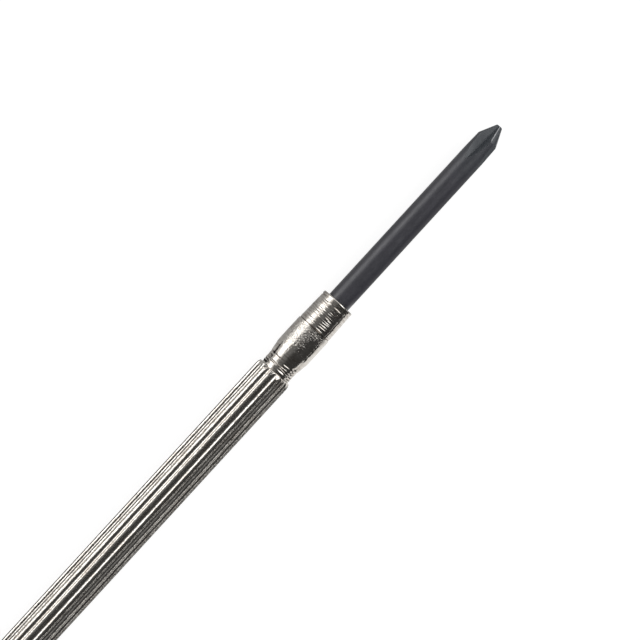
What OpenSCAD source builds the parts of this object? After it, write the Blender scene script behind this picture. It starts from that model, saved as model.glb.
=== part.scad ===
// Pocket screwdriver: a fluted barrel, a turned nose, a reversible blade with a cross tip
// and a flat tip, a sprung pocket clip, and an end cap with a magnet.
// Millimetres. The tool lies along X with its cross tip towards +X, and +Z is up.
// The origin is on the tool's axis, at the mouth of the nose.

/* [Blade] */
// Diameter of the round shank
blade_d = 3; // [2.6:0.1:3.2]
// Length of blade that stands out of the nose
blade_reach = 28.6; // [20:0.2:40]
// Length of the hexagonal middle that turns with the nose
hex_len = 8; // [6:0.5:9]
// Depth of the hexagon behind the mouth
hex_inset = 1; // [0.5:0.1:2]
// How far the hexagon's flats stand out past the round shank
hex_proud = 0.025; // [0.02:0.005:0.05]

/* [Cross tip] */
// Diameter of the flat end of the cross tip
point_d = 0.8; // [0.6:0.05:1]
// Length of the cone that carries the four wings
cone_len = 2.2; // [1.8:0.1:2.8]
// Length of the four ground grooves
groove_len = 5.8; // [5.2:0.1:7]
// Radius of the wheel that leaves the grooves' curved ends
wheel_r = 6; // [4:0.5:9]
// Distance from the axis to the grooves' root at the very tip
root_tip_r = 0.26; // [0.2:0.01:0.32]
// Slope of the grooves' root along the blade, in degrees
root_slope = 7; // [5:0.5:9]
// Angle between the two walls of a groove, in degrees
groove_angle = 104; // [94:1:106]

/* [Flat tip] */
// Thickness of the flat tip at its end
flat_t = 0.5; // [0.4:0.05:0.8]
// Length of its two ground faces
flat_len = 7; // [5:0.5:10]

/* [Nose] */
// Length of the nose in front of the barrel
nose_len = 11.3; // [10.4:0.1:14]
// Diameter of the lip round the mouth
lip_d = 4.4; // [4.3:0.02:4.6]
// Diameter of the ringed front part, just behind the lip
nose_front_d = 4.38; // [4.3:0.02:4.5]
// Diameter of the ringed front part at the scribed line
nose_line_d = 4.56; // [4.5:0.02:4.7]
// Diameter of the swollen part behind the scribed line
nose_belly_d = 4.66; // [4.6:0.02:4.8]
// Diameter of the waist that meets the barrel
nose_waist_d = 4.15; // [4.1:0.01:4.25]
// Distance from the mouth to the scribed line
line_at = 4.2; // [3.6:0.1:4.8]
// Distance from the mouth to the end of the swollen part
belly_end = 8.1; // [7.6:0.1:8.4]

/* [Barrel] */
// Length of the fluted barrel
barrel_len = 80; // [70:1:95]
// Diameter over the ridges between the flutes
barrel_d = 4.92; // [4.8:0.02:5.6]
// Diameter of the bore
barrel_bore_d = 3.8; // [3.6:0.05:3.9]
// Number of flutes
flute_count = 15; // [10:1:16]
// Depth of a flute
flute_depth = 0.19; // [0.1:0.01:0.2]
// Width of a flute between its edges
flute_w = 0.56; // [0.5:0.01:0.7]
// Length of the rounded front end
barrel_round_len = 0.95; // [0.6:0.05:1.2]

/* [End cap] */
// Length of the cap behind the clip
cap_len = 3; // [2.6:0.1:5]
// Length of the spigots that the nose and the cap have in the barrel
spigot_len = 5; // [3:0.5:8]
// Diameter of the magnet
magnet_d = 3; // [2:0.5:3.5]
// Thickness of the magnet
magnet_t = 2; // [1:0.5:2]

/* [Clip] */
// Thickness of the clip's sheet
clip_t = 0.4; // [0.3:0.05:0.5]
// Width of the clip at its root
clip_w = 3; // [2.4:0.1:3.4]
// Width of the clip at its toe
clip_toe_w = 2.2; // [1.6:0.1:2.4]
// Distance from the barrel's rear end to the point that pinches the cloth
pinch_at = 27; // [20:1:30]
// Gap between the barrel and the clip's arm at its root
clip_gap = 1.4; // [1:0.1:2]
// Length of the straight end of the upturned toe
toe_len = 2; // [1:0.1:3]
// Slope of the toe, in degrees
toe_slope = 24; // [15:1:35]

/* [Hidden] */

// Next to the hexagon the shank keeps a slight taper, which ends just in front of the mouth
taper_rise = 0.012;
taper_out = 0.2;

// Smoothness of round parts
$fn = 96;
// One overrun for every cut
over = 1;

// Radial clearance of the blade's hexagon and shank in the nose
slide_fit = 0.03;
// Clearance between the hexagon and the shoulder that stops it
stop_gap = 0.02;
// Gap between the clip's pinching point and the barrel's ridges
pinch_gap = 0.1;
// Gap across the bend between the clip's eye and its sprung arm
flex_gap = 0.04;
// How far the magnet stands out of the cap
magnet_proud = 0.05;

// Azimuths about the tool's axis, from +Z towards +Y, in degrees
groove_turn = 18;
flute_turn = -6.2;

// Size of the bevels at the hexagon's ends, the barrel's rear end, the cap and the magnet
hex_bevel = 0.25;
rear_bevel = 0.12;
cap_bevel = 0.35;
magnet_bevel = 0.1;

// Length and depth of the neck behind the lip, of the scribed line, and of the rounded lip
lip_len = 0.4;
neck_len = 0.16;
neck_depth = 0.07;
line_w = 0.14;
line_depth = 0.08;
mouth_bevel = 0.12;
taper_len = 1.8;

// Retaining ring of flat spring wire that grips the hexagon's corners
ring_wall = 0.22;
ring_w = 0.4;
ring_side_gap = 0.03;
ring_split = 60;

// Inner radius of the clip's two bends
bend_in = 0.45;
pinch_in = 1.6;
// Straight steps in each rounded stretch of the clip's outline
bend_steps = 8;

blade_r = blade_d / 2;
hex_in_r = blade_r + hex_proud;
hex_out_r = hex_in_r / cos(30);
blade_half = blade_reach + hex_inset + hex_len / 2;
hex_mid_x = -hex_inset - hex_len / 2;
shank_taper_len = hex_inset + taper_out;
socket_in_r = hex_in_r + slide_fit;
socket_out_r = socket_in_r / cos(30);
socket_len = hex_inset + hex_len + stop_gap;
shank_hole_r = blade_r + slide_fit;

ring_in_r = hex_out_r + slide_fit;
ring_out_r = ring_in_r + ring_wall;
ring_groove_r = ring_out_r + ring_side_gap;
ring_x = -(line_at + belly_end) / 2;

barrel_r = barrel_d / 2;
bore_r = barrel_bore_d / 2;
barrel_front_x = -nose_len;
barrel_rear_x = barrel_front_x - barrel_len;
barrel_face_r = (nose_waist_d / 2 + barrel_r - flute_depth) / 2;

// A flute is cut by a round wheel whose radius follows from the flute's width and depth
flute_drop = barrel_r - sqrt(pow(barrel_r, 2) - pow(flute_w / 2, 2));
flute_bite = flute_depth - flute_drop;
flute_r = (pow(flute_w / 2, 2) + pow(flute_bite, 2)) / (2 * flute_bite);
flute_centre_r = barrel_r - flute_depth + flute_r;

eye_rear_x = barrel_rear_x - clip_t;
cap_rear_x = eye_rear_x - cap_len;

// Centre line of the clip: up its root, round the bend, straight down to the pinching point
// and up its toe. Both bends are circles, and the straight is their crossing tangent.
bend_r = bend_in + clip_t / 2;
pinch_r = pinch_in + clip_t / 2;
root_x = eye_rear_x + clip_t / 2;
bend_centre = [root_x + bend_r, barrel_r + clip_gap + clip_t / 2 - bend_r];
pinch_centre = [barrel_rear_x + pinch_at, barrel_r + pinch_gap + clip_t / 2 + pinch_r];
centre_gap = pinch_centre - bend_centre;
arm_straight = sqrt(pow(norm(centre_gap), 2) - pow(bend_r + pinch_r, 2));
arm_slope = atan2(bend_r + pinch_r, arm_straight) - atan2(centre_gap[1], centre_gap[0]);
toe_end = pinch_centre + pinch_r * [sin(toe_slope), -cos(toe_slope)]
    + toe_len * [cos(toe_slope), sin(toe_slope)];

// The tool lies on its barrel and on the lower edge of the clip's root
clip_top_r = barrel_r + clip_gap + clip_t;
clip_turn = -(acos(-barrel_r / norm([clip_top_r, clip_w / 2])) - atan2(clip_w / 2, clip_top_r));

// Turns a shape that stands along +Z to lie along +X
module along_x() {
    rotate([0, 90, 0]) children();
}

// Turns a shape about the tool's axis, from +Z towards +Y
module turned(azimuth) {
    rotate([-azimuth, 0, 0]) children();
}

// Round rod along X between two stations
module rod(from_x, to_x, r) {
    translate([from_x, 0, 0]) along_x() cylinder(r = r, h = to_x - from_x);
}

// Solid of revolution about X, from points [x, radius] in order from rear to front
module turning(points) {
    along_x() rotate_extrude() polygon([
        [0, points[0][0]],
        for (p = points) [p[1], p[0]],
        [0, points[len(points) - 1][0]]
    ]);
}

module hexagon(from_x, to_x, in_r) {
    translate([from_x, 0, 0]) along_x()
        linear_extrude(to_x - from_x) circle(r = in_r / cos(30), $fn = 6);
}

// The fluted tube
module barrel() {
    color("silver") difference() {
        turning([
            [barrel_rear_x, barrel_r - rear_bevel],
            [barrel_rear_x + rear_bevel, barrel_r],
            for (step = [0 : bend_steps])
                let (a = 90 * step / bend_steps)
                [barrel_front_x - barrel_round_len + barrel_round_len * sin(a),
                 barrel_face_r + (barrel_r - barrel_face_r) * cos(a)]
        ]);
        rod(barrel_rear_x - over, barrel_front_x + over, bore_r);
        for (i = [0 : flute_count - 1])
            turned(flute_turn + 360 * i / flute_count)
                translate([0, 0, flute_centre_r])
                    rod(barrel_rear_x - over, barrel_front_x + over, flute_r);
    }
}

// The turned nose, pressed into the barrel, with its hexagonal socket
module nose() {
    front_r = nose_front_d / 2;
    line_r = nose_line_d / 2;
    belly_r = nose_belly_d / 2;
    waist_r = nose_waist_d / 2;
    lip_r = lip_d / 2;
    color("gainsboro") difference() {
        turning([
            [barrel_front_x - spigot_len, bore_r - rear_bevel],
            [barrel_front_x - spigot_len + rear_bevel, bore_r],
            [barrel_front_x, bore_r],
            [barrel_front_x, waist_r],
            [-belly_end - taper_len, waist_r],
            [-belly_end - taper_len / 2, (waist_r + belly_r) / 2],
            [-belly_end, belly_r],
            [-line_at - line_w, belly_r],
            [-line_at - line_w / 2, line_r - line_depth],
            [-line_at, line_r],
            [-lip_len - neck_len, front_r],
            [-lip_len - neck_len / 2, front_r - neck_depth],
            [-lip_len, lip_r],
            [-mouth_bevel, lip_r],
            [0, lip_r - mouth_bevel]
        ]);
        hexagon(-socket_len, over, socket_in_r);
        rod(barrel_front_x - spigot_len - over, over, shank_hole_r);
        turning([
            [-mouth_bevel, socket_out_r - mouth_bevel],
            [over, socket_out_r + over]
        ]);
        rod(ring_x - ring_w / 2 - ring_side_gap, ring_x + ring_w / 2 + ring_side_gap, ring_groove_r);
    }
}

// Split spring ring in the nose, which holds the blade by its corners
module retaining_ring() {
    color("dimgray") difference() {
        rod(ring_x - ring_w / 2, ring_x + ring_w / 2, ring_out_r);
        rod(ring_x - ring_w, ring_x + ring_w, ring_in_r);
        translate([ring_x, 0, 0]) rotate([ring_split / 2, 0, 0])
            along_x() translate([0, 0, -ring_w]) rotate_extrude(angle = ring_split)
                square([ring_out_r + over, 2 * ring_w]);
    }
}

// Cutter for one groove: a double cone, as a dressed grinding wheel, run out to the tip
module groove_cutter() {
    half_w = wheel_r * tan(groove_angle / 2);
    rotate([90, 0, 0]) rotate_extrude() polygon([[0, -half_w], [wheel_r, 0], [0, half_w]]);
    along_x() linear_extrude(groove_len + over)
        polygon([[0, -half_w], [wheel_r, 0], [0, half_w]]);
}

// The cross tip's four grooves. The wheel stands where its rim leaves the blade's surface at
// the grooves' rear end, and it travels down the slope of their root.
module cross_grooves() {
    // Distance behind the tip at which the wheel's axis stops
    stop_back = wheel_stop();
    centre_r = root_tip_r + stop_back * tan(root_slope) + wheel_r / cos(root_slope);
    for (i = [0 : 3])
        turned(groove_turn + 90 * i)
            translate([blade_reach - stop_back, 0, centre_r])
                rotate([0, root_slope, 0]) groove_cutter();
}

// Where the wheel's axis has to stop for its rim to leave the blade's surface at groove_len:
// the nearer root of a quadratic, as the axis climbs with the slope of the grooves' root
function wheel_stop() =
    let (rise = tan(root_slope))
    let (lift = root_tip_r + wheel_r / cos(root_slope) - blade_r)
    let (reach = groove_len - rise * lift)
    let (square = 1 + pow(rise, 2))
    let (rest = pow(groove_len, 2) + pow(lift, 2) - pow(wheel_r, 2))
    (reach - sqrt(pow(reach, 2) - square * rest)) / square;

// Two ground faces that leave the flat tip between them
module flat_grinds() {
    end_x = hex_mid_x - blade_half;
    for (side = [-1, 1])
        translate([0, -blade_d, 0]) rotate([-90, 0, 0])
            linear_extrude(2 * blade_d)
                polygon([
                    [end_x - over, side * flat_t / 2],
                    [end_x, side * flat_t / 2],
                    [end_x + flat_len, side * blade_r],
                    [end_x + flat_len, side * blade_d],
                    [end_x - over, side * blade_d]
                ]);
}

// The reversible blade: round shanks on a hexagonal middle, one cross tip and one flat tip
module blade() {
    end_x = hex_mid_x - blade_half;
    hex_rear_x = hex_mid_x - hex_len / 2;
    hex_front_x = hex_mid_x + hex_len / 2;
    color([0.2, 0.2, 0.22]) difference() {
        union() {
            turning([
                [end_x, blade_r],
                [hex_rear_x - shank_taper_len, blade_r],
                [hex_rear_x, blade_r + taper_rise],
                [hex_front_x, blade_r + taper_rise],
                [hex_front_x + shank_taper_len, blade_r],
                [blade_reach - cone_len, blade_r],
                [blade_reach, point_d / 2]
            ]);
            intersection() {
                hexagon(hex_rear_x, hex_front_x, hex_in_r);
                turning([
                    [hex_rear_x, hex_out_r - hex_bevel],
                    [hex_rear_x + hex_bevel, hex_out_r],
                    [hex_front_x - hex_bevel, hex_out_r],
                    [hex_front_x, hex_out_r - hex_bevel]
                ]);
            }
        }
        cross_grooves();
        flat_grinds();
    }
}

// Points on the clip's centre line, offset to one side, from its root to its toe
function clip_line(side) = [
    for (step = [0 : bend_steps])
        let (a = 90 - (90 + arm_slope) * step / bend_steps)
        bend_centre + (bend_r + side) * [-sin(a), cos(a)],
    for (step = [0 : bend_steps])
        let (a = -arm_slope + (toe_slope + arm_slope) * step / bend_steps)
        pinch_centre + (pinch_r - side) * [sin(a), -cos(a)],
    toe_end + side * [-sin(toe_slope), cos(toe_slope)]
];

// The clip seen from outside: tapered to a round toe
module clip_plan() {
    toe_x = toe_end[0] - clip_toe_w / 2;
    union() {
        polygon([
            [eye_rear_x, -clip_w / 2],
            [toe_x, -clip_toe_w / 2],
            [toe_x, clip_toe_w / 2],
            [eye_rear_x, clip_w / 2]
        ]);
        translate([toe_x, 0]) circle(d = clip_toe_w);
    }
}

// The sprung arm of the pocket clip, from the bend to the toe
module clip_arm() {
    inside = clip_line(-clip_t / 2);
    outside = clip_line(clip_t / 2);
    color("silver") turned(clip_turn) intersection() {
        translate([0, clip_w, 0]) rotate([90, 0, 0]) linear_extrude(2 * clip_w)
            polygon([for (p = inside) p, for (i = [len(outside) - 1 : -1 : 0]) outside[i]]);
        linear_extrude(clip_top_r + toe_len) clip_plan();
    }
}

// The clip's flat eye, held between the barrel and the end cap, and the root of its arm
module clip_eye() {
    color("silver") turned(clip_turn) difference() {
        union() {
            rod(eye_rear_x, barrel_rear_x, barrel_r);
            translate([eye_rear_x, -clip_w / 2, 0])
                cube([clip_t, clip_w, bend_centre[1] - flex_gap]);
        }
        rod(eye_rear_x - over, barrel_rear_x + over, bore_r);
    }
}

// The end cap, pressed into the barrel, with a pocket for the magnet
module end_cap() {
    color("gainsboro") difference() {
        turning([
            [cap_rear_x, barrel_r - cap_bevel],
            [cap_rear_x + cap_bevel, barrel_r],
            [eye_rear_x - rear_bevel, barrel_r],
            [eye_rear_x, barrel_r - rear_bevel],
            [eye_rear_x, bore_r],
            [barrel_rear_x + spigot_len - rear_bevel, bore_r],
            [barrel_rear_x + spigot_len, bore_r - rear_bevel]
        ]);
        rod(cap_rear_x - over, cap_rear_x + magnet_t - magnet_proud, magnet_d / 2);
    }
}

module magnet() {
    rear_x = cap_rear_x - magnet_proud;
    color("darkgray") turning([
        [rear_x, magnet_d / 2 - magnet_bevel],
        [rear_x + magnet_bevel, magnet_d / 2],
        [rear_x + magnet_t, magnet_d / 2]
    ]);
}

barrel();
nose();
retaining_ring();
blade();
clip_eye();
clip_arm();
end_cap();
magnet();
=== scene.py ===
import math

import bmesh
import bpy
import numpy as np
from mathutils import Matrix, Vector


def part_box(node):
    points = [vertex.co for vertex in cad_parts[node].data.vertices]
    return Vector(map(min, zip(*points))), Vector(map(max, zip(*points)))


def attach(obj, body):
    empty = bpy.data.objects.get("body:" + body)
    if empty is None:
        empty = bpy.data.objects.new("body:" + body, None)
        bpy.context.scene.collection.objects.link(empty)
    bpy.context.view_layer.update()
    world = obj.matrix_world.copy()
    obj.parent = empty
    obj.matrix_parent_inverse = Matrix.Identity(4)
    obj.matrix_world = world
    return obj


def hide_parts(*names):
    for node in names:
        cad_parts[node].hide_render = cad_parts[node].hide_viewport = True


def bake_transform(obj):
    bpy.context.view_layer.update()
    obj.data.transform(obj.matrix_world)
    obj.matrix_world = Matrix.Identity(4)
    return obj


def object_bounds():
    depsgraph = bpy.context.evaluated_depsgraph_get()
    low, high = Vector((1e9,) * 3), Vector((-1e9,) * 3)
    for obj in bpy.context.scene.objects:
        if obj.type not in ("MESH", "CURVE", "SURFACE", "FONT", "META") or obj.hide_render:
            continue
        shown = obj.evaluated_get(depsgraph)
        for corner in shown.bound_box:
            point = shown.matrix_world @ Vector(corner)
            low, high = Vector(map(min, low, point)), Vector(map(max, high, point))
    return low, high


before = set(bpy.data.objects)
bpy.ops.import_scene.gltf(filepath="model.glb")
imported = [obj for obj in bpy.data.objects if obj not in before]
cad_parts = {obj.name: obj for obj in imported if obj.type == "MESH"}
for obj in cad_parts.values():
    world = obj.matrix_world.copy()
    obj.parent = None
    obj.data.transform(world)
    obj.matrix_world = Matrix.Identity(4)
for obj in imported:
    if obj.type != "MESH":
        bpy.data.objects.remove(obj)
cad_low, cad_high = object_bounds()

# Everything is in metres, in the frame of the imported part: the tool lies along X with its cross
# tip towards +X, its axis is the X axis, and the origin is at the mouth of the nose. Azimuths
# are about the tool's axis, from +Z towards +Y, in radians.
MM = 0.001
BARREL_REAR, BARREL_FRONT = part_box("barrel")[0].x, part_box("barrel")[1].x
BARREL_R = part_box("barrel")[1].z
BLADE_REAR, BLADE_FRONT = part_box("blade")[0].x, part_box("blade")[1].x
EYE_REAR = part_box("clip_eye")[0].x
CAP_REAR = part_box("end_cap")[0].x
MAGNET_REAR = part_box("magnet")[0].x
TABLE_Z = cad_low.z
# The barrel's bore, the spigots of the nose and the cap in it, and the bevel of most turned edges
BORE_R = 1.9 * MM
SPIGOT_LEN = 5 * MM
SMALL_BEVEL = 0.12 * MM


# Mesh tools

SMOOTH_ANGLE = math.radians(35)
BEVEL_ANGLE = math.radians(40)
STRAIGHT_ANGLE = math.radians(4)


def new_piece(name, points, faces, material, body, slot, stands_for, bevel=0):
    """A closed mesh that rides on a body and stands for CAD nodes. Its edges are smooth up to
    SMOOTH_ANGLE, and a bevel rounds those above BEVEL_ANGLE."""
    mesh = bpy.data.meshes.new(name)
    mesh.from_pydata([tuple(p) for p in points], [], faces)
    form = bmesh.new()
    form.from_mesh(mesh)
    bmesh.ops.recalc_face_normals(form, faces=form.faces)
    if bevel:
        edges = [e for e in form.edges if e.calc_face_angle(0) > BEVEL_ANGLE]
        bmesh.ops.bevel(
            form, geom=edges, offset=bevel, segments=3, profile=0.5, affect="EDGES",
            clamp_overlap=True,
        )
    form.to_mesh(mesh)
    form.free()
    mesh.materials.append(material)
    mesh.polygons.foreach_set("use_smooth", [True] * len(mesh.polygons))
    mesh.set_sharp_from_angle(angle=SMOOTH_ANGLE)
    piece = bpy.data.objects.new(name, mesh)
    bpy.context.scene.collection.objects.link(piece)
    if body:
        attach(piece, body)
    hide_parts(*stands_for)
    return piece


def skin(stations, radii, turns, tube=False):
    """Points and quads of a surface round the axis. Station i is at x stations[i] with radius
    radii[i][j] at azimuth turns[j] or turns[i][j]. A tube's last station joins its first, and
    anything else is closed by a point on the axis at both ends."""
    r = np.asarray(radii, float)
    rows, around = r.shape
    x = np.repeat(np.asarray(stations, float)[:, None], around, axis=1)
    turns = np.broadcast_to(turns, r.shape)
    points = np.stack([x, r * np.sin(turns), r * np.cos(turns)], axis=-1).reshape(-1, 3)
    faces = []
    for i in range(rows if tube else rows - 1):
        a, b = i * around, ((i + 1) % rows) * around
        for j in range(around):
            k = (j + 1) % around
            faces.append((a + j, b + j, b + k, a + k))
    if not tube:
        first, last, end = len(points), len(points) + 1, (rows - 1) * around
        points = np.vstack([points, [(stations[0], 0, 0), (stations[-1], 0, 0)]])
        for j in range(around):
            k = (j + 1) % around
            faces += [(first, k, j), (last, end + j, end + k)]
    return points, faces


def lathe(outline, around):
    """A solid of revolution, from an outline of (x, r) without its points on the axis."""
    radii = np.repeat(np.array([r for _, r in outline])[:, None], around, axis=1)
    return skin([x for x, _ in outline], radii, 2 * math.pi * np.arange(around) / around)


def softened(outline, radius, steps=4, room=0.45):
    """An outline of (x, r) with its inner corners rounded to a radius, or to a smaller one where
    the rounding would take more than a share, room, of an edge."""
    points = [tuple(outline[0])]
    for before, corner, after in zip(outline, outline[1:], outline[2:]):
        c = np.array(corner, float)
        u, v = np.array(before, float) - c, np.array(after, float) - c
        lu, lv = np.linalg.norm(u), np.linalg.norm(v)
        u, v = u / lu, v / lv
        angle = math.acos(max(-1.0, min(1.0, float(u @ v))))
        if math.pi - angle < STRAIGHT_ANGLE:
            points.append(tuple(corner))
            continue
        reach = min(radius / math.tan(angle / 2), room * lu, room * lv)
        r = reach * math.tan(angle / 2)
        middle = c + (u + v) / np.linalg.norm(u + v) * r / math.sin(angle / 2)
        for i in range(steps + 1):
            d = (c + u * reach) * (1 - i / steps) + (c + v * reach) * (i / steps) - middle
            points.append(tuple(middle + d / np.linalg.norm(d) * r))
    points.append(tuple(outline[-1]))
    return points


def smooth_min(a, b, width):
    """The smaller of two lengths, with the corner where they meet rounded over a width."""
    h = np.maximum(width - np.abs(a - b), 0) / width
    return np.minimum(a, b) - h * h * width / 4


def streaks(rng, rows, around, row_gap, turn_gap, row_length, turn_length):
    """Smooth random heights on a grid that closes in its second direction, about one in size.
    The gaps are the grid's steps, and the lengths are those of a typical mark."""
    grid = rng.normal(size=(rows, around))
    fr = np.fft.fftfreq(rows, row_gap)[:, None] * row_length
    ft = np.fft.fftfreq(around, turn_gap)[None, :] * turn_length
    grid = np.fft.ifft2(np.fft.fft2(grid) * np.exp(-2 * (fr**2 + ft**2))).real
    return grid / grid.std()


# Barrel: a fluted tube, with round ridges and round flutes

FLUTES = 15
FLUTE_COLUMNS = 28
FLUTE_AZIMUTH = math.radians(-6.2)
FLUTE_PITCH = 2 * math.pi * BARREL_R / FLUTES
RIDGE_SHARE = 0.487
RIDGE_TILT = math.radians(24)
FLUTE_TILT = math.radians(57)
BARREL_ROUND = 0.95 * MM
BARREL_FACE_R = 2.1725 * MM
FLUTE_END_ROUND = 0.02 * MM
BARREL_ROWS = 170
LEAST_ROW_GAP = 0.02 * MM
# Small dents in the plating, as (x in mm, azimuth in degrees)
NICKS = [
    (-18.7, 21), (-23.1, 21.4), (-23.9, -2), (-21.1, 51), (-31.5, -20), (-44.0, 33),
    (-58.0, 8), (-70.5, 150), (-39.0, -70), (-82.0, 100), (-27.5, 190), (-50.5, 230),
]
NICK_DEPTH = 0.03 * MM
# In mm: the least and the greatest reach of a dent, and the rows of points across one
NICK_REACH = (0.08, 0.14)
NICK_ROWS = (-0.2, -0.13, -0.07, 0, 0.07, 0.13, 0.2)


def flute_drop(azimuth):
    """How far the fluted section lies inside the barrel's radius at an azimuth."""
    half_ridge, half_flute = RIDGE_SHARE * FLUTE_PITCH / 2, (1 - RIDGE_SHARE) * FLUTE_PITCH / 2
    ridge_r, flute_r = half_ridge / math.sin(RIDGE_TILT), half_flute / math.sin(FLUTE_TILT)
    ridge_drop = ridge_r * (1 - math.cos(RIDGE_TILT))
    flute_depth = ridge_drop + flute_r * (1 - math.cos(FLUTE_TILT))
    u = ((azimuth - FLUTE_AZIMUTH) / (2 * math.pi) * FLUTES + 0.5) % 1.0 - 0.5
    s = abs(u) * FLUTE_PITCH
    if s < half_flute:
        return flute_depth - (flute_r - math.sqrt(flute_r**2 - s**2))
    return ridge_r - math.sqrt(ridge_r**2 - (FLUTE_PITCH / 2 - s) ** 2)


def barrel_stations(bevel_rows=6, round_rows=16):
    """Where the barrel's rows of points are, and the radius that its rounded ends allow there."""
    body_end = BARREL_FRONT - BARREL_ROUND
    plain = list(np.linspace(BARREL_REAR + SMALL_BEVEL, body_end, BARREL_ROWS))
    plain += [x * MM + d * MM for x, _ in NICKS for d in NICK_ROWS]
    plain = sorted(plain)
    plain = [x for x, before in zip(plain, [-1.0] + plain) if x - before > LEAST_ROW_GAP]
    turns = [math.pi / 2 * i / bevel_rows for i in range(bevel_rows)]
    stations = [BARREL_REAR + SMALL_BEVEL * (1 - math.cos(a)) for a in turns] + plain
    caps = [BARREL_R - SMALL_BEVEL * (1 - math.sin(a)) for a in turns] + [BARREL_R] * len(plain)
    for i in range(1, round_rows + 1):
        a = math.pi / 2 * i / round_rows
        stations.append(body_end + BARREL_ROUND * math.sin(a))
        caps.append(BARREL_FACE_R + (BARREL_R - BARREL_FACE_R) * math.cos(a))
    return np.array(stations), np.array(caps)


def make_barrel(material):
    rng = np.random.default_rng(3)
    around = FLUTES * FLUTE_COLUMNS
    turns = np.array([2 * math.pi * (j + 0.5) / around + FLUTE_AZIMUTH for j in range(around)])
    stations, caps = barrel_stations()
    drop = np.array([flute_drop(a) for a in turns])
    fluted = np.repeat((BARREL_R - drop)[None, :], len(stations), axis=0)
    for x, degrees in NICKS:
        reach = rng.uniform(*NICK_REACH) * MM
        along = (stations - x * MM)[:, None]
        off = np.mod(turns - math.radians(degrees) + math.pi, 2 * math.pi) - math.pi
        across = off[None, :] * BARREL_R
        fluted -= NICK_DEPTH * np.exp(-(along**2 + across**2) / reach**2)
    radii = smooth_min(caps[:, None], fluted, FLUTE_END_ROUND)
    stations = list(stations) + [BARREL_FRONT, BARREL_REAR]
    radii = np.vstack([radii, np.full((2, around), BORE_R)])
    form = skin(stations, radii, turns, tube=True)
    new_piece("fluted_barrel", *form, material, "handle", "barrel_nickel", ["barrel"])


# Nose: a turned sleeve with a hexagonal socket. The lathe left rings on its front part and waist.

NOSE_COLUMNS = 288
SOCKET_R = 1.555 * MM
SOCKET_LEN = 9.02 * MM
SOCKET_ROUND = 0.3 * MM
SHANK_HOLE_R = 1.53 * MM
# The nose's skin is worked out in mm, at distances behind the mouth. Its outline is (distance,
# radius), and no mark stands higher than its top radius.
NOSE_KEYS = [
    (0.00, 2.09), (0.04, 2.155), (0.12, 2.20), (0.38, 2.20), (0.44, 2.13), (0.52, 2.13),
    (0.58, 2.19), (4.20, 2.28), (4.26, 2.20), (4.29, 2.20), (4.34, 2.33), (6.20, 2.335),
    (8.00, 2.33), (8.30, 2.305), (9.00, 2.2025), (9.70, 2.095), (10.0, 2.075), (11.30, 2.075),
]
NOSE_TOP = 2.34
NOSE_MEAN_R = 2.2
NOSE_STEP = 0.02
# The front part, the waist and the belly, from where they fade in to where they fade out
FRONT_SPAN = (0.6, 0.7, 4.08, 4.18)
WAIST_SPAN = (9.4, 9.7)
BELLY_SPAN = (4.4, 4.7, 7.2, 8.6)
# Pitch and depth of the rings that the lathe's feed left on the front part and the waist
FEED_FRONT, RING_FRONT = 0.32, 0.019
FEED_WAIST, RING_WAIST = 0.38, 0.042
# Shares of the pitch by which the rings drift, and of the depth: its mean, its change, its limits
RING_DRIFT = 0.2
RING_MEAN, RING_CHANGE = 0.85, 0.45
RING_LIMITS = (0.15, 1.6)
# Lengths, along the axis and round it, of the fine lathe marks, of the changes in the rings' depth
# and in their drift, and of the grain
MARK_LENGTHS = [(0.07, 0.9), (0.3, 1.6), (0.8, 6.0), (0.2, 0.2)]
# Height of the fine lathe marks, and of the grain all over the nose and on its belly
LATHE_MARK = 0.0022
GRAIN, BELLY_GRAIN = 0.0012, 0.0065
# Behind the first distances and past the first offsets across, the belly's grain is fainter
BELLY_FADE = (5.0, 5.8)
BELLY_SIDE = (-0.9, -0.3)
FAINT = 0.15


def hexagon_radius(turns, in_r):
    return in_r / np.cos(np.mod(turns, math.pi / 3) - math.pi / 6)


def nose_skin(turns):
    """Distances behind the mouth and radii of the nose's skin, in mm, with its marks."""
    rng = np.random.default_rng(7)
    around, length = len(turns), -BARREL_FRONT / MM
    back = np.linspace(0, length, int(round(length / NOSE_STEP)) + 1)
    arc = NOSE_MEAN_R * 2 * math.pi / around

    def span(where, shares):
        return np.interp(back, where, shares)[:, None]

    fine, depth, drift, grain = (
        streaks(rng, len(back), around, NOSE_STEP, arc, *lengths) for lengths in MARK_LENGTHS
    )
    front, waist = span(FRONT_SPAN, (0, 1, 1, 0)), span(WAIST_SPAN, (0, 1))
    feed = np.where(back < FRONT_SPAN[-1], FEED_FRONT, FEED_WAIST)[:, None]
    scallop = np.mod(back[:, None] / feed + RING_DRIFT * drift, 1.0) * 2 - 1
    rings = front * RING_FRONT + waist * RING_WAIST
    rings = rings * np.clip(RING_MEAN + RING_CHANGE * depth, *RING_LIMITS)
    lower = np.interp(NOSE_MEAN_R * np.sin(turns), BELLY_SIDE, (FAINT, 1))[None, :]
    belly = span(BELLY_SPAN, (0, 1, 1, 0)) * (1 - span(BELLY_FADE, (0, 1)) * (1 - lower))
    keys = np.array(NOSE_KEYS)
    radii = np.repeat(np.interp(back, keys[:, 0], keys[:, 1])[:, None], around, axis=1)
    radii -= rings * (1 - scallop**2)
    radii += (front + waist) * LATHE_MARK * fine
    radii += (GRAIN + BELLY_GRAIN * belly) * grain
    return back, np.minimum(radii, NOSE_TOP)


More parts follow.
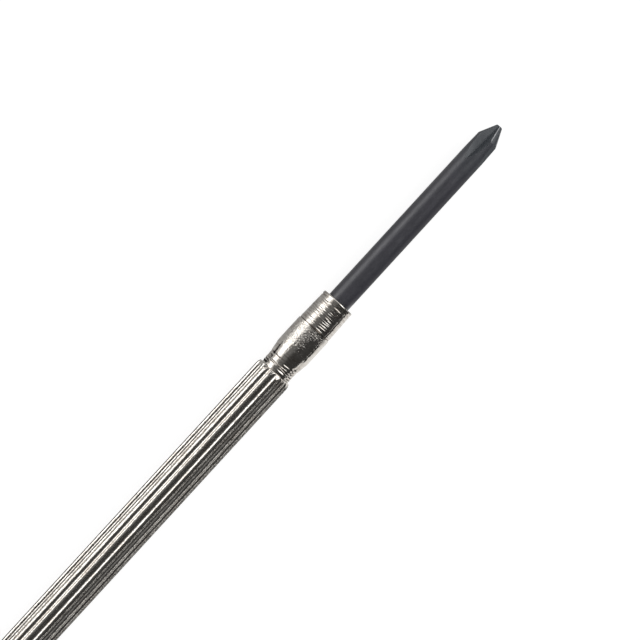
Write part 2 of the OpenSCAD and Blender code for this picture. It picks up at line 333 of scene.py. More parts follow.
def make_nose(material):
    turns = 2 * math.pi * np.arange(NOSE_COLUMNS) / NOSE_COLUMNS
    back, skin_radii = nose_skin(turns)
    ring = np.ones(NOSE_COLUMNS)
    rear = BARREL_FRONT - SPIGOT_LEN
    behind = [
        (rear, (BORE_R - SMALL_BEVEL) * ring),
        (rear + SMALL_BEVEL, BORE_R * ring),
        (BARREL_FRONT, BORE_R * ring),
    ]
    hexagon = hexagon_radius(turns, SOCKET_R)
    corner_r = SOCKET_R / math.cos(math.pi / 6)
    inside = [
        (0, np.maximum(hexagon, corner_r)),
        (-SMALL_BEVEL, np.maximum(hexagon, corner_r - SMALL_BEVEL)),
        (-SOCKET_ROUND, hexagon),
        (-SOCKET_LEN, hexagon),
        (-SOCKET_LEN, SHANK_HOLE_R * ring),
        (rear, SHANK_HOLE_R * ring),
    ]
    stations = [x for x, _ in behind] + list(-back[::-1] * MM) + [x for x, _ in inside]
    radii = np.vstack([[r for _, r in behind], skin_radii[::-1] * MM, [r for _, r in inside]])
    form = skin(stations, radii, turns, tube=True)
    new_piece("turned_nose", *form, material, "handle", "turned_nickel", ["nose"])


# Blade: a round shank with a hexagonal middle, a cross tip in front and a flat tip behind. Its
# columns of points follow the edges of the grooves and of the ground faces.

BLADE_R = 1.5 * MM
POINT_R = 0.4 * MM
CONE_LEN = 2.2 * MM
CONE_ROUND = 0.05 * MM
GROOVE_LEN = 5.8 * MM
WHEEL_R = 6 * MM
ROOT_TIP_R = 0.26 * MM
ROOT_SLOPE = math.radians(7)
GROOVE_HALF = math.radians(52)
GROOVE_AZIMUTH = math.radians(18)
EDGE_ROUND = 0.03 * MM
HEX_REAR, HEX_FRONT = -9 * MM, -1 * MM
HEX_IN_R = 1.525 * MM
HEX_BEVEL = 0.25 * MM
TAPER_RISE = 0.012 * MM
TAPER_LEN = 1.2 * MM
FLAT_HALF = 0.25 * MM
FLAT_LEN = 7 * MM
# Columns of points in a quarter, azimuth of the hexagon's first, and by how many columns the flat
# tip's are shifted to lie about in line with it
QUARTER = 36
FIRST_COLUMN = math.radians(20)
FLAT_SHIFT = 8
# Columns before, in and after a rounded edge, in an eighth of the cross tip and a quarter of the
# flat one
CROSS_COLUMNS = (10, 6, 5)
FLAT_COLUMNS = (18, 6, QUARTER - 21)
# Rows of points in an end's rounded edge, as shares of EDGE_ROUND from the end
EDGE_ROWS = (0, 0.05, 0.12, 0.24, 0.4, 0.6)
# One edge of each wing is worn bright, from so far on the groove's side to so far on the land's,
# and from the tip to the end of the cone
WEAR_SPAN = (-0.045 * MM, -0.02 * MM, 0.015 * MM, 0.045 * MM)
WEAR_END = (0.9 * CONE_LEN, 1.02 * CONE_LEN)


def end_round(back):
    """How far a rounded end draws in the outline at a distance from the end."""
    return EDGE_ROUND - math.sqrt(max(0.0, EDGE_ROUND**2 - max(0.0, EDGE_ROUND - back) ** 2))


def around_edge(end, edge, reach, counts):
    """Azimuths from zero to an end, with even steps before, in and after the reach of an edge."""
    before, across, after = counts
    return np.concatenate([
        np.linspace(0, edge - reach, before)[:-1],
        np.linspace(edge - reach, edge + reach, across)[:-1],
        np.linspace(edge + reach, end, after),
    ])


def wheel_stop():
    """How far behind the tip the grinding wheel's axis stops, for its rim to leave the surface at
    GROOVE_LEN."""
    rise = math.tan(ROOT_SLOPE)
    lift = ROOT_TIP_R + WHEEL_R / math.cos(ROOT_SLOPE) - BLADE_R
    reach, square = GROOVE_LEN - rise * lift, 1 + rise**2
    rest = GROOVE_LEN**2 + lift**2 - WHEEL_R**2
    return (reach - math.sqrt(reach**2 - square * rest)) / square


def groove_radius(back, off, halvings=40):
    """Radius of a groove's wall at a distance behind the tip and at azimuths off its middle. The
    grinding wheel is a double cone that travels down the slope of the groove's root."""
    stop = wheel_stop()
    centre = ROOT_TIP_R + stop * math.tan(ROOT_SLOPE) + WHEEL_R / math.cos(ROOT_SLOPE)
    sin, cos = math.sin(ROOT_SLOPE), math.cos(ROOT_SLOPE)
    low, high = np.zeros_like(off), np.full_like(off, 4 * MM)
    for _ in range(halvings):
        r = (low + high) / 2
        below = r * np.cos(off) - centre
        past = np.maximum((back - stop) * cos + below * sin, 0)
        wall = (WHEEL_R - np.hypot(past, below * cos - (back - stop) * sin)) * math.tan(GROOVE_HALF)
        outside = r * np.abs(np.sin(off)) > wall
        low, high = np.where(outside, r, low), np.where(outside, high, r)
    return low


def cross_ring(back):
    """Azimuths, radii and wear round the cross tip at a distance behind its end."""
    cone = np.array(POINT_R + (BLADE_R - POINT_R) * back / CONE_LEN)
    shell = float(smooth_min(cone, np.array(BLADE_R), CONE_ROUND)) - end_round(back)
    eighth = math.pi / 4
    probe = np.linspace(0, eighth, 400)
    edge = np.interp(0, groove_radius(back, probe) - shell, probe)
    edge = min(max(edge, math.radians(5)), math.radians(42))
    reach = min(1.5 * EDGE_ROUND / shell, 0.6 * (eighth - edge), 0.6 * edge)
    half = around_edge(eighth, edge, reach, CROSS_COLUMNS)
    radius = smooth_min(groove_radius(back, half), np.full_like(half, shell), EDGE_ROUND)
    past_edge = (half - edge) * shell
    wear = np.interp(past_edge, WEAR_SPAN, (0, 1, 1, 0)) * np.interp(back, WEAR_END, (1, 0))
    off = np.concatenate([half, 2 * eighth - half[-2:0:-1]])
    turns = np.concatenate([off + GROOVE_AZIMUTH + k * 2 * eighth for k in range(4)])
    radius = np.tile(np.concatenate([radius, radius[-2:0:-1]]), 4)
    wear = np.tile(np.concatenate([0 * wear, wear[-2:0:-1]]), 4)
    return turns, radius, wear


def flat_ring(back):
    """Azimuths and radii round the flat tip at a distance from its end."""
    half = FLAT_HALF + (BLADE_R - FLAT_HALF) * back / FLAT_LEN
    right = math.pi / 2
    corner = max(math.acos(min(half / BLADE_R, 1)), math.radians(3))
    reach = min(2 * EDGE_ROUND / BLADE_R, 0.5 * (right - corner), 0.5 * corner)
    first = around_edge(right, corner, reach, FLAT_COLUMNS)
    upper = np.concatenate([first[:-1], math.pi - first[:0:-1]])
    turns = np.concatenate([upper, upper + math.pi])
    face = (half - end_round(back)) / np.maximum(np.abs(np.cos(turns)), 1e-6)
    radius = smooth_min(face, np.full_like(face, BLADE_R - end_round(back)), EDGE_ROUND)
    turns, radius = np.roll(turns, -FLAT_SHIFT), np.roll(radius, -FLAT_SHIFT)
    turns[-FLAT_SHIFT:] += 2 * math.pi
    return turns, radius


def shank_rings(start, end, turns, last_turns, shares):
    """Round rings at shares of the way from start to end, whose columns drift to other azimuths."""
    radius = np.full_like(turns, BLADE_R)
    return [
        (start + (end - start) * share, turns + (last_turns - turns) * share, radius)
        for share in shares
    ]


def hexagon_rings(even):
    """Rings of the hexagonal middle, bevelled at both ends down to a core wider than the shank."""
    rings = []
    hexagon = hexagon_radius(even, HEX_IN_R)
    corner_r = HEX_IN_R / math.cos(math.pi / 6)
    bevels = np.linspace(0, 1.2 * HEX_BEVEL, 7)
    ends = [(HEX_REAR + b, b) for b in bevels] + [(HEX_FRONT - b, b) for b in bevels[::-1]]
    for x, distance in ends:
        cut = min(corner_r - HEX_BEVEL + distance, corner_r + EDGE_ROUND)
        shape = smooth_min(hexagon, np.full_like(hexagon, cut), EDGE_ROUND)
        rings.append((x, even, np.maximum(shape, BLADE_R + TAPER_RISE)))
    return rings


def cross_rings():
    """Rings of the cross tip from behind the grooves to the end: x, azimuths, radii and wear.
    They are closest where the cone meets the cylinder."""
    near_cone_end, past_cone_end, mid_groove = 2.1 * MM, 2.3 * MM, 4.6 * MM
    backs = [EDGE_ROUND * share for share in EDGE_ROWS]
    backs += list(np.linspace(EDGE_ROUND, near_cone_end, 22))
    backs += [near_cone_end + d * MM for d in (0.03, 0.06, 0.09, 0.12, 0.15)]
    backs += list(np.linspace(past_cone_end, mid_groove, 24))
    backs += list(np.linspace(mid_groove, GROOVE_LEN + 0.12 * MM, 24)[1:])
    return [(BLADE_FRONT - back, *cross_ring(back)) for back in reversed(backs)]


def make_blade(material):
    around = 4 * QUARTER
    even = FIRST_COLUMN + 2 * math.pi * np.arange(around) / around
    backs = [*(EDGE_ROUND * share for share in EDGE_ROWS), *np.linspace(EDGE_ROUND, FLAT_LEN, 38)]
    rings = [(BLADE_REAR + back, *flat_ring(back)) for back in backs]
    x, turns, _ = rings[-1]
    rings += shank_rings(x, HEX_REAR - TAPER_LEN, turns, even, np.linspace(0.1, 1, 8))
    rings += hexagon_rings(even)
    tip = cross_rings()
    rings += shank_rings(HEX_FRONT + TAPER_LEN, tip[0][0], even, tip[0][1], np.linspace(0, 0.92, 9))
    rings += [ring[:3] for ring in tip]
    # Two smaller rings in each end face
    x, turns, radius = rings[-1]
    front_face = [(x, turns, radius * share) for share in (0.7, 0.4)]
    x, turns, radius = rings[0]
    rear_face = [(x, turns, radius * share) for share in (0.4, 0.7)]
    stations, turns, radii = zip(*(rear_face + rings + front_face))
    form = skin(stations, radii, np.array(turns))
    piece = new_piece("blade_bit", *form, material, "blade", "black_oxide", ["blade"])
    wear = np.concatenate([ring[3] for ring in tip])
    end = (len(stations) - len(front_face)) * around
    values = np.zeros(len(piece.data.vertices))
    values[end - len(wear) : end] = wear
    piece.data.attributes.new("wear", "FLOAT", "POINT").data.foreach_set("value", values)


# End cap and magnet

POCKET_R = 1.5 * MM
POCKET_DEPTH = 1.95 * MM
CAP_RIM = 0.35 * MM
MAGNET_R = 1.485 * MM


def make_cap(material):
    floor_x, front, core_r = CAP_REAR + POCKET_DEPTH, BARREL_REAR + SPIGOT_LEN, 0.5 * MM
    outline = [
        (floor_x, core_r), (floor_x, POCKET_R), (CAP_REAR, POCKET_R),
        (CAP_REAR, BARREL_R - CAP_RIM), (CAP_REAR + CAP_RIM, BARREL_R),
        (EYE_REAR - SMALL_BEVEL, BARREL_R), (EYE_REAR, BARREL_R - SMALL_BEVEL),
        (EYE_REAR, BORE_R), (front - SMALL_BEVEL, BORE_R), (front, BORE_R - SMALL_BEVEL),
        (front, core_r),
    ]
    form = lathe(softened(outline, 0.09 * MM), 192)
    new_piece("cap_turned", *form, material, "handle", "turned_nickel", ["end_cap"])


def make_magnet(material):
    front, core_r = CAP_REAR + POCKET_DEPTH, 0.4 * MM
    outline = [(MAGNET_REAR, core_r), (MAGNET_REAR, MAGNET_R), (front, MAGNET_R), (front, core_r)]
    form = lathe(softened(outline, 0.1 * MM), 128)
    new_piece("magnet_disc", *form, material, "handle", "magnet_plate", ["magnet"])


# Clip: one piece of sheet, from its eye between barrel and cap, up its root, round the bend and
# along the arm to its toe. Its own frame is (x, across, out), turned about the tool's axis.

CLIP_T = 0.4 * MM
CLIP_HALF, CLIP_TOE_HALF = 1.5 * MM, 1.1 * MM
CLIP_END_HALF = 0.12 * MM
CLIP_TURN = math.radians(-103.605)
CLIP_GAP = 1.4 * MM
CLIP_BEVEL = 0.06 * MM
ROOT_OUT = 2.62 * MM
BEND_R = 0.65 * MM
PINCH_R = 1.8 * MM
PINCH_AT = 27 * MM
PINCH_GAP = 0.1 * MM
TOE_LEN = 2 * MM
TOE_SLOPE = math.radians(24)
# Columns of points across the clip and round the rest of its eye, and steps along its parts
CLIP_COLUMNS, EYE_COLUMNS = 12, 58
BEND_STEPS, ARM_STEPS, PINCH_STEPS, TOE_STEPS = 16, 29, 12, 12


def clip_line():
    """The clip's centre line from the bend to the toe, as (x, out, slope), and the x where the
    toe's round end starts."""
    bend = np.array([EYE_REAR + CLIP_T / 2 + BEND_R, BARREL_R + CLIP_GAP + CLIP_T / 2 - BEND_R])
    pinch = np.array([BARREL_REAR + PINCH_AT, BARREL_R + PINCH_GAP + CLIP_T / 2 + PINCH_R])
    gap = pinch - bend
    straight = math.sqrt(gap @ gap - (BEND_R + PINCH_R) ** 2)
    slope = math.atan2(BEND_R + PINCH_R, straight) - math.atan2(gap[1], gap[0])
    line = []
    for a in np.linspace(math.pi / 2, -slope, BEND_STEPS + 1):
        line.append((*(bend + BEND_R * np.array([-math.sin(a), math.cos(a)])), a))
    start = np.array(line[-1][:2])
    end = pinch + PINCH_R * np.array([math.sin(-slope), -math.cos(-slope)])
    for share in np.linspace(0, 1, ARM_STEPS + 1)[1:]:
        line.append((*(start + (end - start) * share), -slope))
    for a in np.linspace(-slope, TOE_SLOPE, PINCH_STEPS + 1)[1:]:
        line.append((*(pinch + PINCH_R * np.array([math.sin(a), -math.cos(a)])), a))
    start = np.array(line[-1][:2])
    along = np.array([math.cos(TOE_SLOPE), math.sin(TOE_SLOPE)])
    toe_x = start[0] + TOE_LEN * along[0] - CLIP_TOE_HALF
    for share in (0.33, 0.66, 1):
        line.append((*(start + along * share * (toe_x - start[0]) / along[0]), TOE_SLOPE))
    start = np.array(line[-1][:2])
    for a in np.linspace(0, math.pi / 2, TOE_STEPS + 1)[1:]:
        line.append((*(start + along * CLIP_TOE_HALF * math.sin(a) / along[0]), TOE_SLOPE))
    return line, toe_x


def clip_half(x, toe_x):
    """Half the clip's width: it tapers to the toe, which ends round."""
    if x <= toe_x:
        return CLIP_HALF + (CLIP_TOE_HALF - CLIP_HALF) * max(0.0, x - EYE_REAR) / (toe_x - EYE_REAR)
    return math.sqrt(max(CLIP_TOE_HALF**2 - (x - toe_x) ** 2, CLIP_END_HALF**2))


def clip_sheet(line, toe_x):
    """Points, normals and quads of the clip's middle surface."""
    columns = np.linspace(-1, 1, CLIP_COLUMNS + 1)
    rows, sheet, points = [], [], []
    # Eye: rings from the hole to the rim, whose first columns carry the root
    edge = math.asin(CLIP_HALF / BARREL_R)
    turns = [math.asin(CLIP_HALF * c / BARREL_R) for c in columns]
    turns += list(np.linspace(edge, 2 * math.pi - edge, EYE_COLUMNS + 2)[1:-1])
    count = len(turns)
    mid_x = EYE_REAR + CLIP_T / 2
    for r in np.linspace(BORE_R, BARREL_R, 4):
        rows.append(range(len(points), len(points) + count))
        points += [(mid_x, r * math.sin(a), r * math.cos(a)) for a in turns]
    for a, b in zip(rows, rows[1:]):
        sheet += [(a[j], a[(j + 1) % count], b[(j + 1) % count], b[j]) for j in range(count)]
    normals = [(-1, 0, 0)] * len(points)
    before = rows[-1]
    root = [(mid_x, out, math.pi / 2) for out in np.linspace(ROOT_OUT, line[0][1], 4)[:-1]]
    for x, out, slope in root + line:
        half = CLIP_HALF if x < EYE_REAR + CLIP_T else clip_half(x, toe_x)
        now = range(len(points), len(points) + CLIP_COLUMNS + 1)
        points += [(x, half * c, out) for c in columns]
        normals += [(-math.sin(slope), 0, math.cos(slope))] * len(columns)
        sheet += [(before[j], before[j + 1], now[j + 1], now[j]) for j in range(CLIP_COLUMNS)]
        before = now
    return np.array(points), np.array(normals), sheet


def make_clip(material):
    line, toe_x = clip_line()
    points, normals, sheet = clip_sheet(line, toe_x)
    # The sheet gets its thickness: two faces and a wall along every open edge
    both = np.vstack([points + normals * CLIP_T / 2, points - normals * CLIP_T / 2])
    count = len(points)
    sides = dict.fromkeys(side for quad in sheet for side in zip(quad, quad[1:] + quad[:1]))
    faces = sheet + [tuple(count + v for v in reversed(quad)) for quad in sheet]
    faces += [(b, a, count + a, count + b) for a, b in sides if (b, a) not in sides]
    sin, cos = math.sin(CLIP_TURN), math.cos(CLIP_TURN)
    x, across, out = both.T
    placed = np.stack([x, across * cos + out * sin, out * cos - across * sin], axis=1)
    piece = new_piece(
        "pocket_clip", placed, faces, material, None, "sheet_nickel",
        ["clip_eye", "clip_arm"], CLIP_BEVEL,
    )
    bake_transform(piece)


# Materials


def add_node(tree, kind, inputs=None, **settings):
    """A new node. An input is a value, or a socket to link from."""
    node = tree.nodes.new(kind)
    for key, value in settings.items():
        setattr(node, key, value)
    for key, value in (inputs or {}).items():
        feed(tree, node.inputs[key], value)
    return node


def feed(tree, socket, value):
    if isinstance(value, bpy.types.NodeSocket):
        tree.links.new(value, socket)
    else:
        socket.default_value = value


class Paint:
    """A material of one Principled shader, and a short way to add nodes to it."""

    def __init__(self, name):
        self.material = bpy.data.materials.new(name)
        self.material.use_nodes = True
        self.tree = self.material.node_tree
        self.place = self.add("ShaderNodeTexCoord").outputs["Object"]

    def add(self, kind, inputs=None, **settings):
        return add_node(self.tree, kind, inputs, **settings)

    def set(self, **values):
        """Inputs of the Principled shader, each a value or a socket."""
        for key, value in values.items():
            feed(self.tree, self.tree.nodes["Principled BSDF"].inputs[key.replace("_", " ")], value)

    def cover(self, shader):
        """Another shader takes the Principled shader's place."""
        feed(self.tree, self.tree.nodes["Material Output"].inputs["Surface"], shader.outputs[0])

    def split(self):
        """The place's x, y and z."""
        return self.add("ShaderNodeSeparateXYZ", {0: self.place}).outputs

    def noise(self, size, stretch=(1, 1, 1), detail=3.0, distortion=0.0):
        """Noise whose features are about a size, in metres, and longer along an axis with a
        stretch above one."""
        scale = [1 / (size * s) for s in stretch]
        scaled = self.add("ShaderNodeMapping", {"Vector": self.place, "Scale": scale})
        return self.add("ShaderNodeTexNoise", {
            "Vector": scaled.outputs[0], "Scale": 1.0, "Detail": detail, "Roughness": 0.55,
            "Distortion": distortion,
        }).outputs["Fac"]

    def steps(self, value, low, high, to_low=0.0, to_high=1.0):
        return self.add("ShaderNodeMapRange", {
            "Value": value, "From Min": low, "From Max": high, "To Min": to_low, "To Max": to_high,
        }, clamp=True).outputs["Result"]

    def span(self, value, start, full, last, end):
        """One from full to last, fading to zero at start and end."""
        return self.product(self.steps(value, start, full), self.steps(value, end, last))

    def maths(self, operation, a, b=0.0):
        return self.add("ShaderNodeMath", {0: a, 1: b}, operation=operation).outputs[0]

    def product(self, first, *others):
        for other in others:
            first = self.maths("MULTIPLY", first, other)
        return first

    def blend(self, share, a, b):
        """A colour between two, each written as (r, g, b) or a socket."""
        a, b = ((*c, 1) if isinstance(c, tuple) else c for c in (a, b))
        return self.add("ShaderNodeMix", {0: share, 6: a, 7: b}, data_type="RGBA").outputs[2]

    def bumps(self, *layers):
        """Bumps from (height, distance in metres) layers, one on top of another."""
        normal = None
        for height, distance in layers:
            inputs = {"Height": height, "Distance": distance, "Strength": 1.0}
            if normal:
                inputs["Normal"] = normal
            normal = self.add("ShaderNodeBump", inputs).outputs[0]
        self.set(Normal=normal)


NICKEL = (0.66, 0.63, 0.585)
NICKEL_STAIN = (0.50, 0.45, 0.40)
# Painted shade: the colour of the dark rings in the lathe's grooves
LATHE_LINE_SHADE = (0.40, 0.36, 0.32)
# Painted shade: the colour of the scribed line's groove
SCRIBED_LINE_SHADE = (0.38, 0.345, 0.31)
OXIDE = (0.033, 0.033, 0.041), (0.039, 0.038, 0.048)
GROUND_OXIDE = (0.034, 0.040, 0.048), (0.044, 0.050, 0.059)
BARE_STEEL = (0.62, 0.62, 0.64)


def fluted_nickel():
    paint = Paint("fluted_nickel")
    stain = paint.steps(paint.noise(0.9 * MM, (3, 1, 1), detail=5), 0.5, 0.72)
    paint.set(
        Base_Color=paint.blend(stain, NICKEL, NICKEL_STAIN),
        Metallic=1.0,
        Roughness=paint.steps(paint.noise(0.13 * MM, (2, 1, 1)), 0.45, 0.65, 0.09, 0.27),
    )
    paint.bumps(
        (paint.noise(0.09 * MM, (14, 1, 1), detail=2), 0.0016 * MM),
        (paint.noise(0.16 * MM, (2, 1, 1)), 0.035 * MM),
    )
    return paint.material


def turned_nickel():
    """Nickel over lathe marks, with painted shade: thin dark rings along the lathe's grooves,
    fewer on the belly, and a darker scribed line. The belly also has a rough skin."""
    paint = Paint("turned_nickel")
    along, across, _ = paint.split()
    belly = paint.span(along, -9 * MM, -8 * MM, -4.4 * MM, -4.2 * MM)
    # Painted shade in the scribed line's groove
    scribed = paint.span(along, -4.34 * MM, -4.3 * MM, -4.22 * MM, -4.18 * MM)
    stain = paint.steps(paint.noise(0.8 * MM, detail=5), 0.5, 0.75)
    # Thin dark rings of painted shade along the lathe's grooves, fainter on the belly
    line = paint.product(
        paint.steps(paint.noise(0.14 * MM, (1, 10, 10), detail=2), 0.45, 0.65),
        paint.steps(belly, 0, 1, 0.9, 0.3),
    )
    plate = paint.blend(line, paint.blend(stain, NICKEL, NICKEL_STAIN), LATHE_LINE_SHADE)
    paint.set(
        Base_Color=paint.blend(scribed, plate, SCRIBED_LINE_SHADE),
        Metallic=1.0,
        Roughness=paint.steps(paint.noise(0.5 * MM), 0.35, 0.7, 0.09, 0.2),
    )
    rough = paint.span(along, -8.6 * MM, -6.6 * MM, -4.6 * MM, -4.3 * MM)
    side = paint.maths(
        "MAXIMUM", paint.steps(along, -5.8 * MM, -5 * MM), paint.steps(across, -0.9 * MM, -0.3 * MM)
    )
    speck = paint.product(rough, side, paint.noise(0.16 * MM, detail=2, distortion=1.5))
    paint.bumps(
        (paint.noise(0.05 * MM, (1, 40, 40), detail=2), 0.0012 * MM),
        (paint.noise(0.3 * MM, detail=2), 0.004 * MM),
        (speck, 0.03 * MM),
    )
    return paint.material


def sheet_nickel():
    paint = Paint("sheet_nickel")
    stain = paint.steps(paint.noise(1.5 * MM, (2, 1, 1)), 0.5, 0.75)
    paint.set(
        Base_Color=paint.blend(stain, NICKEL, NICKEL_STAIN),
        Metallic=1.0,
        Roughness=paint.steps(paint.noise(0.6 * MM, (8, 1, 1)), 0.35, 0.7, 0.12, 0.24),
    )
    paint.bumps(
        (paint.noise(0.06 * MM, (30, 1, 1), detail=2), 0.001 * MM),
        (paint.noise(0.5 * MM), 0.004 * MM),
    )
    return paint.material


def black_oxide():
    """Satin black. Towards the cross tip it turns bluer, most of all on the ground faces, which are
    rougher too, and the wings' worn edges are bare steel."""
    paint = Paint("black_oxide")
    along, y, z = paint.split()
    cloud = paint.steps(paint.noise(1.2 * MM, (2, 1, 1), detail=5), 0.35, 0.7)
    square = paint.maths("ADD", paint.product(y, y), paint.product(z, z))
    inside = paint.steps(paint.maths("SQRT", square), 1.496 * MM, 1.45 * MM)
    near_tip = paint.steps(along, 19 * MM, 23 * MM)
    ground = paint.product(inside, near_tip)
    blue = paint.product(paint.steps(inside, 0, 1, 0.5, 1), near_tip)
    wear = paint.add("ShaderNodeAttribute", attribute_name="wear").outputs["Fac"]
    worn = paint.product(wear, paint.steps(paint.noise(0.2 * MM), 0.3, 0.5, 0.5, 1.0))
    skin_colour = paint.blend(blue, paint.blend(cloud, *OXIDE), paint.blend(cloud, *GROUND_OXIDE))
    paint.set(
        Base_Color=paint.blend(worn, skin_colour, BARE_STEEL),
        Metallic=paint.product(worn, 0.9),
        Specular_IOR_Level=0.7,
        Roughness=paint.maths(
            "ADD",
            paint.steps(paint.noise(0.3 * MM, (4, 1, 1)), 0.35, 0.7, 0.3, 0.4),
            paint.product(ground, paint.steps(wear, 0, 1, 0.18, 0)),
        ),
    )
    paint.bumps(
        (paint.noise(0.13 * MM, (2, 1, 1), detail=2), 0.008 * MM),
        (paint.noise(0.35 * MM, (2, 1, 1)), 0.008 * MM),
    )
    return paint.material


def spring_steel():
    paint = Paint("spring_steel")
    paint.set(
        Base_Color=paint.blend(paint.noise(0.3 * MM), (0.30, 0.29, 0.28), (0.42, 0.40, 0.38)),
        Metallic=1.0,
        Roughness=paint.steps(paint.noise(0.1 * MM), 0.3, 0.7, 0.25, 0.4),
    )
    return paint.material


def magnet_plate():
    paint = Paint("magnet_plate")
    paint.set(
        Base_Color=paint.blend(paint.noise(0.6 * MM), (0.66, 0.65, 0.62), (0.58, 0.56, 0.53)),
        Metallic=1.0,
        Roughness=paint.steps(paint.noise(0.2 * MM), 0.3, 0.7, 0.16, 0.28),
    )
    paint.bumps((paint.noise(0.12 * MM), 0.002 * MM))
    return paint.material


# Stage

# At the tool, the photo is so wide, its middle is at this x and y, and its rows lie at this angle
# to the tool's axis
PHOTO_WIDTH = 76.8 * MM
PHOTO_MIDDLE = (-3.07 * MM, 0.205 * MM)
PHOTO_TURN = math.radians(-47.47)
# Rays of these kinds see a white background. To all others the world is a soft fill.
SEEN = ("Is Camera Ray", "Is Glossy Ray", "Is Transmission Ray")
FILL = 0.4
FLOOR_HALF = 6
FLOOR_GREY, FLOOR_SEEN_GREY, FLOOR_GLOW = 0.8, 0.25, 0.86
# Radiance of the light tent by the angle about X, in degrees from the zenith towards +Y
TENT_KEYS = [
    (-90, 0.05), (-64, 0.05), (-54, 0.055), (-12, 0.06), (4, 0.17), (12, 0.18), (30, 0.24),
    (44, 1.7), (50, 2.8), (65, 2.8), (73, 1.8), (80, 0.8), (90, 0.6),
]
TENT_R, TENT_HALF, TENT_COLUMNS = 0.5, 0.6, 60
# The tent's bright side is a panel from x to x and from angle to angle. Past its ends the tent is
# dimmer by this share.
PANEL_X = (-0.26, -0.22, 0.10, 0.13)
PANEL_ANGLES = (34, 40, 88, 90)
PANEL_DIM = 0.88
# Towards the tip the tent has a window, which the rings of the nose catch, and a narrower one
# that gives its belly a light fringe
WINDOW_X = (0.14, 0.18, 0.32, 0.38)
WINDOW_ANGLES = (-64, -46, -20, 2)
FRINGE_ANGLES = (22, 32, 46, 50)
WINDOW_GLOW = 2.5
# Painted shade: mottled grey sheets beside the tool, seen only in reflections, for its shaded
# surroundings: name, low and high corner, dimmest and brightest radiance, height above the table
SHADE_CARD_LIFT = 0.05 * MM
SHADE_CARDS = [
    ("left_shade_card", (BARREL_FRONT, 2.6 * MM), (0.06, 0.1), 0.24, 0.62, SHADE_CARD_LIFT),
    ("left_rear_shade_card", (-0.15, 2.6 * MM), (BARREL_FRONT, 0.1), 0.014, 0.037, SHADE_CARD_LIFT),
    ("nose_shade_card", (BARREL_FRONT, -0.45), (8 * MM, -14 * MM), 0.02, 0.04, 1.2 * SHADE_CARD_LIFT),
    ("right_shade_card", (1 * MM, -0.1), (0.06, -1.7 * MM), 0.3, 0.4, SHADE_CARD_LIFT),
    ("right_rear_shade_card", (-0.15, -14 * MM), (BARREL_FRONT, -1.7 * MM), 0.06, 0.2, SHADE_CARD_LIFT),
]
# Lamps: name, place, target, width, height, power, and the kinds of ray that don't see them
LAMPS = [
    ("side_light", (-0.02, 0.55, 0.28), (-0.02, 0, 0), 1.2, 0.42, 0.3, ["camera", "glossy"]),
    ("top_light", (-0.02, 0.0, 0.6), (-0.02, 0, 0), 0.6, 0.6, 1, ["camera", "glossy"]),
    ("key_light", (0.42, -0.3, 0.34), (0, 0, 0), 0.35, 0.35, 1.2, ["camera"]),
]


def link(thing, hidden_from=()):
    bpy.context.scene.collection.objects.link(thing)
    for kind in hidden_from:
        setattr(thing, "visible_" + kind, False)
    return thing


def stage_object(name, points, faces, material, hidden_from=()):
    mesh = bpy.data.meshes.new(name)
    mesh.from_pydata(points, [], faces)
    mesh.materials.append(material)
    link(bpy.data.objects.new(name, mesh), hidden_from)


def plane(name, low, high, z, material, hidden_from=()):
    corners = [(x, y, z) for x, y in (low, (high[0], low[1]), high, (low[0], high[1]))]
    stage_object(name, corners, [(0, 1, 2, 3)], material, hidden_from)


def grey(value):
    return value, value, value, 1


def seen_switch(tree):
    """One for the kinds of ray that see a white background."""
    path = add_node(tree, "ShaderNodeLightPath")
    switch = path.outputs[SEEN[0]]
    for kind in SEEN[1:]:
        inputs = {0: switch, 1: path.outputs[kind]}
        switch = add_node(tree, "ShaderNodeMath", inputs, operation="MAXIMUM").outputs[0]
    return switch


def make_camera():
    data = bpy.data.cameras.new("camera")
    data.lens = 100
    data.sensor_width = 36
    data.clip_start, data.clip_end = 0.005, 20
    camera = bpy.data.objects.new("camera", data)
    camera.location = (*PHOTO_MIDDLE, PHOTO_WIDTH * data.lens / data.sensor_width)
    camera.rotation_euler = (0, 0, PHOTO_TURN)
    bpy.context.scene.camera = link(camera)


def make_world():
    world = bpy.data.worlds.new("studio")
    bpy.context.scene.world = world
    world.use_nodes = True
    tree = world.node_tree
    real = tree.nodes["Background"]
    real.inputs["Color"].default_value = grey(FILL)
    white = add_node(tree, "ShaderNodeBackground", {"Color": grey(1)})
    inputs = {0: seen_switch(tree), 1: real.outputs[0], 2: white.outputs[0]}
    mix = add_node(tree, "ShaderNodeMixShader", inputs)
    tree.links.new(mix.outputs[0], tree.nodes["World Output"].inputs["Surface"])


def make_floor():
    """A pale floor, which the background's rays see as white with the object's shadow."""
    paint = Paint("floor_white")
    real = paint.add("ShaderNodeBsdfDiffuse", {"Color": grey(FLOOR_GREY)})
    shade = paint.add("ShaderNodeBsdfDiffuse", {"Color": grey(FLOOR_SEEN_GREY)})
    glow = paint.add("ShaderNodeEmission", {"Strength": FLOOR_GLOW})
    seen = paint.add("ShaderNodeAddShader", {0: shade.outputs[0], 1: glow.outputs[0]})
    inputs = {0: seen_switch(paint.tree), 1: real.outputs[0], 2: seen.outputs[0]}
    paint.cover(paint.add("ShaderNodeMixShader", inputs))
    plane("floor", (-FLOOR_HALF, -FLOOR_HALF), (FLOOR_HALF, FLOOR_HALF), TABLE_Z, paint.material)


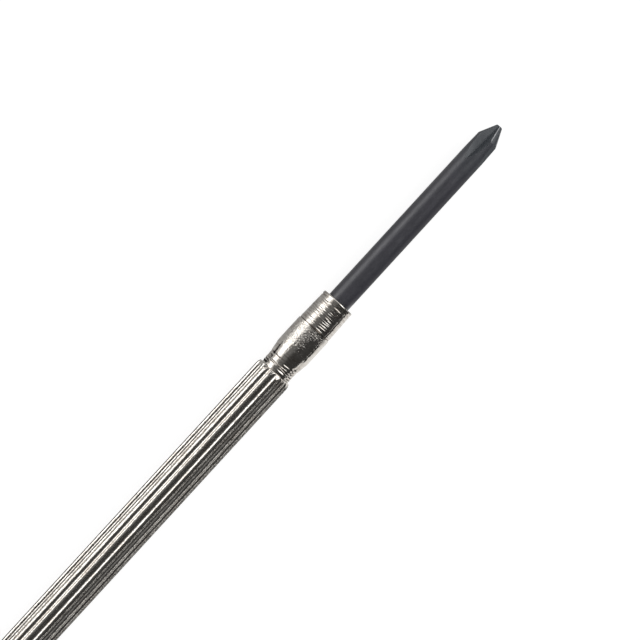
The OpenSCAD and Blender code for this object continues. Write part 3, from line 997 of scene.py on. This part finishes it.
def make_tent():
    """A half cylinder about the tool, seen only in reflections, as a photographer's light tent."""
    points, faces = [], []
    for i in range(TENT_COLUMNS + 1):
        a = math.pi * (i / TENT_COLUMNS - 0.5)
        y, z = TENT_R * math.sin(a), TENT_R * math.cos(a) + TABLE_Z
        points += [(-TENT_HALF, y, z), (TENT_HALF, y, z)]
        if i:
            faces.append((2 * i - 2, 2 * i - 1, 2 * i + 1, 2 * i))
    paint = Paint("light_tent")
    along, y, z = paint.split()
    angle = paint.maths("ARCTAN2", y, z)

    def angles(degrees):
        return paint.span(angle, *(math.radians(v) for v in degrees))

    share = paint.steps(angle, -math.pi / 2, math.pi / 2)
    ramp = paint.add("ShaderNodeFloatCurve", {"Value": share})
    curve = ramp.mapping.curves[0]
    top = max(value for _, value in TENT_KEYS)
    for k, (degrees, value) in enumerate(TENT_KEYS):
        spot = ((degrees + 90) / 180, value / top)
        if k < 2:
            curve.points[k].location = spot
        else:
            curve.points.new(*spot)
    for point in curve.points:
        point.handle_type = "VECTOR"
    ramp.mapping.update()
    past_ends = paint.maths("SUBTRACT", 1.0, paint.span(along, *PANEL_X))
    dim = paint.product(past_ends, angles(PANEL_ANGLES), PANEL_DIM)
    cloth = paint.product(ramp.outputs[0], top, paint.maths("SUBTRACT", 1.0, dim))
    openings = paint.maths("ADD", angles(WINDOW_ANGLES), angles(FRINGE_ANGLES))
    window = paint.product(paint.span(along, *WINDOW_X), openings, WINDOW_GLOW)
    glow = paint.maths("ADD", cloth, window)
    paint.cover(paint.add("ShaderNodeEmission", {"Strength": glow}))
    hidden_from = ["camera", "diffuse", "shadow", "transmission", "volume_scatter"]
    stage_object("light_tent", points, faces, paint.material, hidden_from)


# A sheet of painted shade beside the tool, which only reflections see
def make_shade_card(name, low, high, dim, bright, lift):
    paint = Paint(name)
    glow = paint.steps(paint.noise(0.5 * MM, (1, 30, 1), detail=2), 0.3, 0.7, dim, bright)
    paint.cover(paint.add("ShaderNodeEmission", {"Strength": glow}))
    plane(name, low, high, TABLE_Z + lift, paint.material, ["camera", "diffuse", "shadow"])


def make_lamp(name, place, target, width, height, power, hidden_from):
    light = bpy.data.lights.new(name, "AREA")
    light.shape = "RECTANGLE"
    light.size, light.size_y = width, height
    light.energy = power
    lamp = bpy.data.objects.new(name, light)
    lamp.location = place
    lamp.rotation_euler = (Vector(target) - Vector(place)).to_track_quat("-Z", "Y").to_euler()
    link(lamp, hidden_from)


make_camera()
make_world()
make_floor()
make_tent()
# Sheets of painted shade beside the tool, seen in reflections
for card in SHADE_CARDS:
    make_shade_card(*card)
for lamp in LAMPS:
    make_lamp(*lamp)
turned = turned_nickel()
make_barrel(fluted_nickel())
make_nose(turned)
make_blade(black_oxide())
make_cap(turned)
make_magnet(magnet_plate())
make_clip(sheet_nickel())
# The retaining ring keeps its CAD mesh
ring_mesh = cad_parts["retaining_ring"].data
ring_mesh.materials.clear()
ring_mesh.materials.append(spring_steel())

bpy.context.scene.view_settings.view_transform = "Standard"
